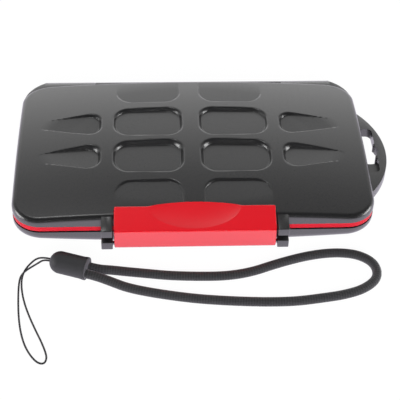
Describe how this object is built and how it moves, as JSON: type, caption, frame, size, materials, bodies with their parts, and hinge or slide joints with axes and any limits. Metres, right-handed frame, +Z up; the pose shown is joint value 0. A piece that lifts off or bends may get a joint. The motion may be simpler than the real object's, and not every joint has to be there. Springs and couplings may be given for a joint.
{
  "type": "memory card case",
  "caption": "Slim clamshell case for memory cards with a pressed lid, red gasket and front latch, rear hinge, lanyard loop and a loose hand strap.",
  "frame": {"origin": "centre of the flat under the base, on the floor", "axes": "+X along the case to the lanyard loop, -Y to the latch, +Z up through the lid"},
  "size_m": [0.1431, 0.1393, 0.0204],
  "materials": {
    "shell": "satin moulded",
    "seal": "smooth silicone",
    "latch": "satin moulded",
    "steel": "drawn",
    "foam": "die-cut foam",
    "cap": "satin moulded",
    "cord": "braided",
    "string": "twisted"
  },
  "bodies": {
    "base": {"base_shell": "shell", "base_tray_frame": "foam", "base_tray_floor": "foam", "latch_pin": "steel", "hinge_pin_left": "steel", "hinge_pin_right": "steel"},
    "lid": {"lid_shell": "shell", "lid_seal": "seal", "lid_tray_frame": "foam", "lid_tray_floor": "foam"},
    "latch": {"latch": "latch"},
    "strap": {"strap_end_cap": "cap", "strap_cord": "cord", "strap_string": "string"}
  },
  "joints": [
    {"name": "lid_hinge", "type": "hinge", "parent": "base", "child": "lid", "pos_m": [0, 0.04295, 0.01095], "axis": [-1, 0, 0], "range_deg": [0, 180]},
    {"name": "latch_hinge", "type": "hinge", "parent": "base", "child": "latch", "pos_m": [0, -0.04435, 0.00805], "axis": [1, 0, 0], "range_deg": [0, 95]},
    {"name": "strap_lift", "type": "slide", "parent": "base", "child": "strap", "axis": [0, 0, 1], "range_m": [0, 0.06]}
  ]
}
